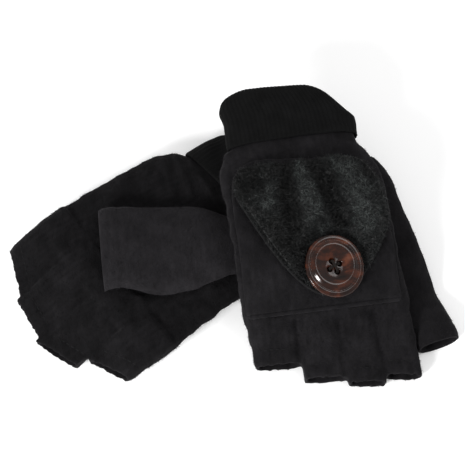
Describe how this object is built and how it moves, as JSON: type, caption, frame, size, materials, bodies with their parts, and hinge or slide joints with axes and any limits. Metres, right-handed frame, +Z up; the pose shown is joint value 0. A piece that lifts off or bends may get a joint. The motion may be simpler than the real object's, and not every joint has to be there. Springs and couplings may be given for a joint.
{
  "type": "convertible flip-top mittens",
  "caption": "Pair of black fleece fingerless mittens with turned-up rib cuffs and furry flip-top caps folded back and buttoned on the back of each hand.",
  "frame": {"origin": "on the table, under the middle of the pair as it lies", "axes": "+X across the pair towards the right mitten, -Y along the right mitten from its wrist to its fingers, +Z up"},
  "size_m": [0.2238, 0.1593, 0.0552],
  "materials": {
    "fleece": "brushed, matt",
    "rib_knit": "fine rib knit, matt",
    "faux_fur": "short dense pile with a soft sheen",
    "lining": "thin fleece, matt",
    "binding": "woven tape, matt",
    "button": "polished, horn-like",
    "thread": "twisted thread"
  },
  "bodies": {
    "right_hand": {"right_back_panel": "fleece", "right_palm_panel": "fleece", "right_cuff": "rib_knit", "right_index_stub": "fleece", "right_middle_stub": "fleece", "right_ring_stub": "fleece", "right_little_stub": "fleece", "right_hinge_seam": "binding", "right_button": "button", "right_button_thread": "thread"},
    "right_thumb": {"right_thumb_front": "fleece", "right_thumb_back": "fleece", "right_thumb_hem": "fleece"},
    "right_cap": {"right_cap_back": "fleece"},
    "right_cap_front": {"right_cap_lining": "lining", "right_cap_fur": "faux_fur", "right_cap_binding": "binding"},
    "left_hand": {"left_back_panel": "fleece", "left_palm_panel": "fleece", "left_cuff": "rib_knit", "left_index_stub": "fleece", "left_middle_stub": "fleece", "left_ring_stub": "fleece", "left_little_stub": "fleece", "left_hinge_seam": "binding", "left_button": "button", "left_button_thread": "thread"},
    "left_thumb": {"left_thumb_front": "fleece", "left_thumb_back": "fleece", "left_thumb_hem": "fleece"},
    "left_cap": {"left_cap_back": "fleece"},
    "left_cap_front": {"left_cap_lining": "lining", "left_cap_fur": "faux_fur", "left_cap_binding": "binding"}
  },
  "joints": [
    {"name": "right_mitten_lift", "type": "slide", "parent": "left_hand", "child": "right_hand", "axis": [0, 0, 1], "range_m": [0, 0.15]},
    {"name": "right_cap_flip", "type": "hinge", "parent": "right_hand", "child": "right_cap", "pos_m": [0.04609, -0.04341, 0.02316], "axis": [0.9997, 0, -0.025], "range_deg": [0, 162]},
    {"name": "right_cap_mouth", "type": "hinge", "parent": "right_cap", "child": "right_cap_front", "pos_m": [0.04609, 0.03339, 0.0418], "axis": [-0.9881, 0, 0.1536], "range_deg": [0, 34], "deforming": ["right_cap_lining", "right_cap_fur", "right_cap_binding"]},
    {"name": "right_thumb_swing", "type": "hinge", "parent": "right_hand", "child": "right_thumb", "pos_m": [0.06909, 0.03789, 0.0201], "axis": [0, 0, 1], "range_deg": [0, 40]},
    {"name": "left_cap_flip", "type": "hinge", "parent": "left_hand", "child": "left_cap", "pos_m": [-0.0682, -0.01589, 0.008], "axis": [-0.4955, 0.8686, 0], "range_deg": [0, 168]},
    {"name": "left_cap_mouth", "type": "hinge", "parent": "left_cap", "child": "left_cap_front", "pos_m": [-0.00149, 0.02216, 0.00438], "axis": [0.4955, -0.8686, 0], "range_deg": [0, 34], "deforming": ["left_cap_lining", "left_cap_fur", "left_cap_binding"]},
    {"name": "left_thumb_swing", "type": "hinge", "parent": "left_hand", "child": "left_thumb", "pos_m": [0.00984, -0.00476, 0.0201], "axis": [0.0649, 0.0371, 0.9972], "range_deg": [0, 30]}
  ],
  "couplings": [
    {"joint": "right_cap_mouth", "follows": "right_cap_flip", "ratio": 0.2},
    {"joint": "left_cap_mouth", "follows": "left_cap_flip", "ratio": 0.2}
  ]
}
